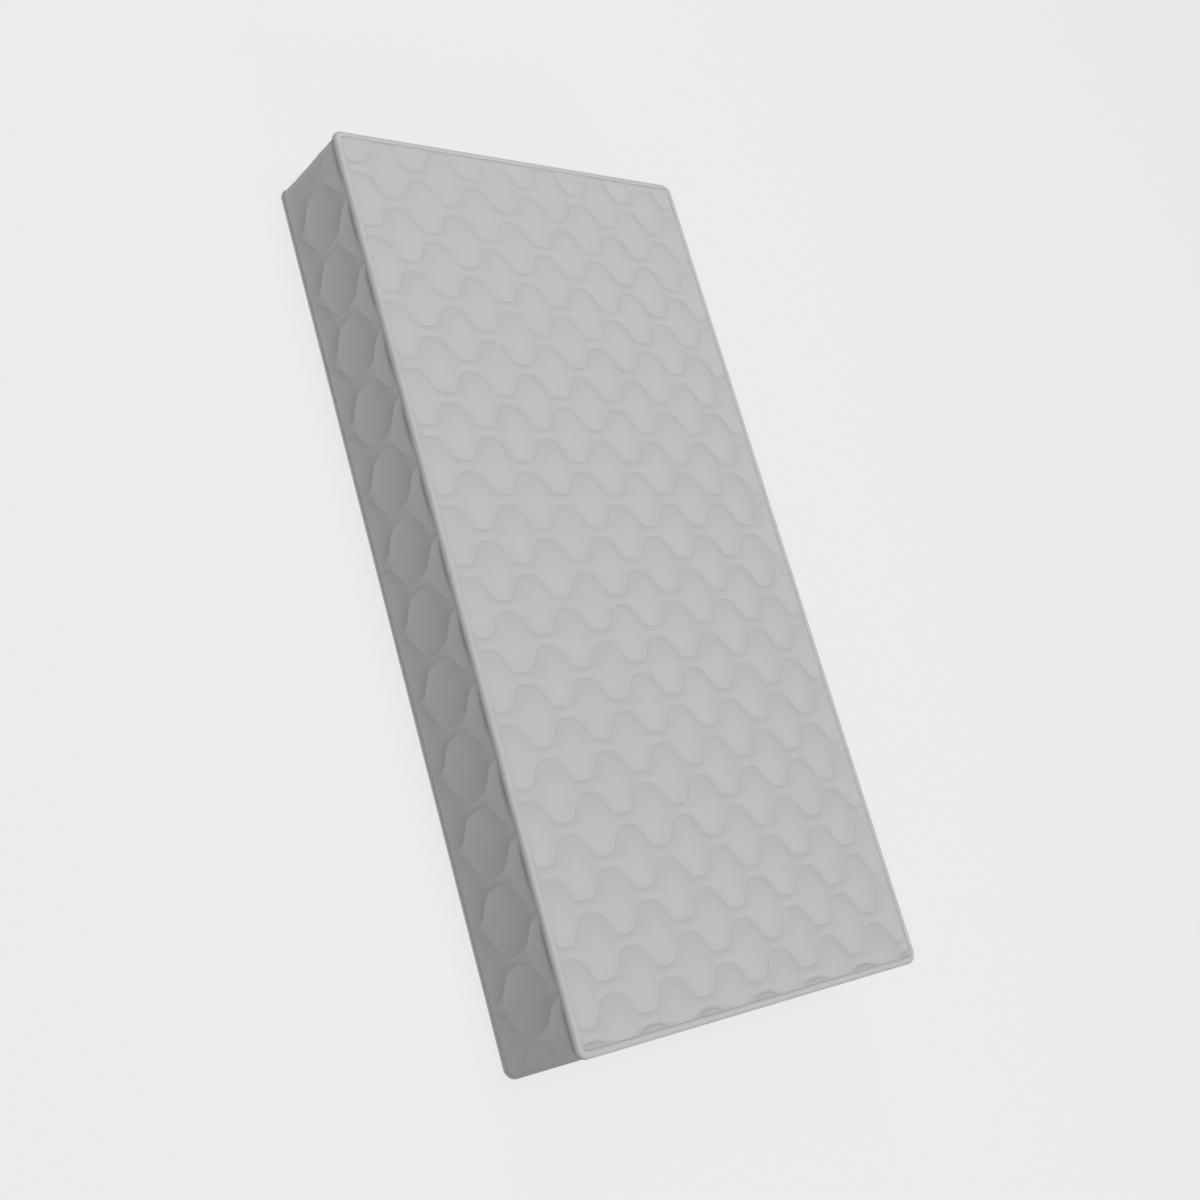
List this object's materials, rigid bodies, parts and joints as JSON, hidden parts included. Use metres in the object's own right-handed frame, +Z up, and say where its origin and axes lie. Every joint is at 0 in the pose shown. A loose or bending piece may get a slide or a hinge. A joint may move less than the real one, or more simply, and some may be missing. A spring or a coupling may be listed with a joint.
{
  "type": "memory foam mattress",
  "caption": "Single foam mattress with layered core, quilted panels and border, round piping along both edges and a zipped removable cover.",
  "frame": {"origin": "centre of the underside, where the mattress rests", "axes": "+Z up out of the sleeping side, Y along the length, X across the width, with the zip at the foot of the +X side"},
  "size_m": [1, 2, 0.25],
  "materials": {
    "memory_foam": "open-cell visco-elastic foam, cream, dull",
    "transition_foam": "open-cell foam, pale blue-grey, dull",
    "support_foam": "firm open-cell foam, off-white, dull",
    "sleeve_knit": "thin plain knit, white",
    "panel_cloth": "knitted face cloth, light grey, matte",
    "border_cloth": "knitted face cloth, light grey, matte",
    "quilt_foam": "soft quilting foam, white",
    "backing_cloth": "non-woven backing cloth, white",
    "piping_tape": "woven tape, light grey, slight sheen",
    "piping_cord": "foam filler cord, white",
    "zip_tape": "woven zip tape, grey",
    "zip_coil": "nylon coil, grey",
    "zip_metal": "nickel-plated die casting"
  },
  "bodies": {
    "mattress": {"comfort_foam": "memory_foam", "transition_foam": "transition_foam", "support_foam": "support_foam", "inner_sleeve": "sleeve_knit", "top_panel_fabric": "panel_cloth", "top_panel_fill": "quilt_foam", "top_panel_backing": "backing_cloth", "bottom_panel_fabric": "panel_cloth", "bottom_panel_fill": "quilt_foam", "bottom_panel_backing": "backing_cloth", "border_fabric": "border_cloth", "border_fill": "quilt_foam", "border_backing": "backing_cloth", "top_piping_tape": "piping_tape", "top_piping_cord": "piping_cord", "bottom_piping_tape": "piping_tape", "bottom_piping_cord": "piping_cord", "zip_tape_upper": "zip_tape", "zip_tape_lower": "zip_tape", "zip_coil_upper": "zip_coil", "zip_coil_lower": "zip_coil", "zip_end_stops": "zip_metal", "zip_end_tabs": "piping_tape"},
    "zip_slider": {"zip_slider": "zip_metal"},
    "zip_pull": {"zip_pull": "zip_metal"}
  },
  "joints": [
    {"name": "zip_travel", "type": "slide", "parent": "mattress", "child": "zip_slider", "axis": [0, 1, 0], "range_m": [0, 1.814]},
    {"name": "pull_swing", "type": "hinge", "parent": "zip_slider", "child": "zip_pull", "pos_m": [0.4969, -0.907, 0.02673], "axis": [0, 0, -1], "range_deg": [0, 175]}
  ]
}
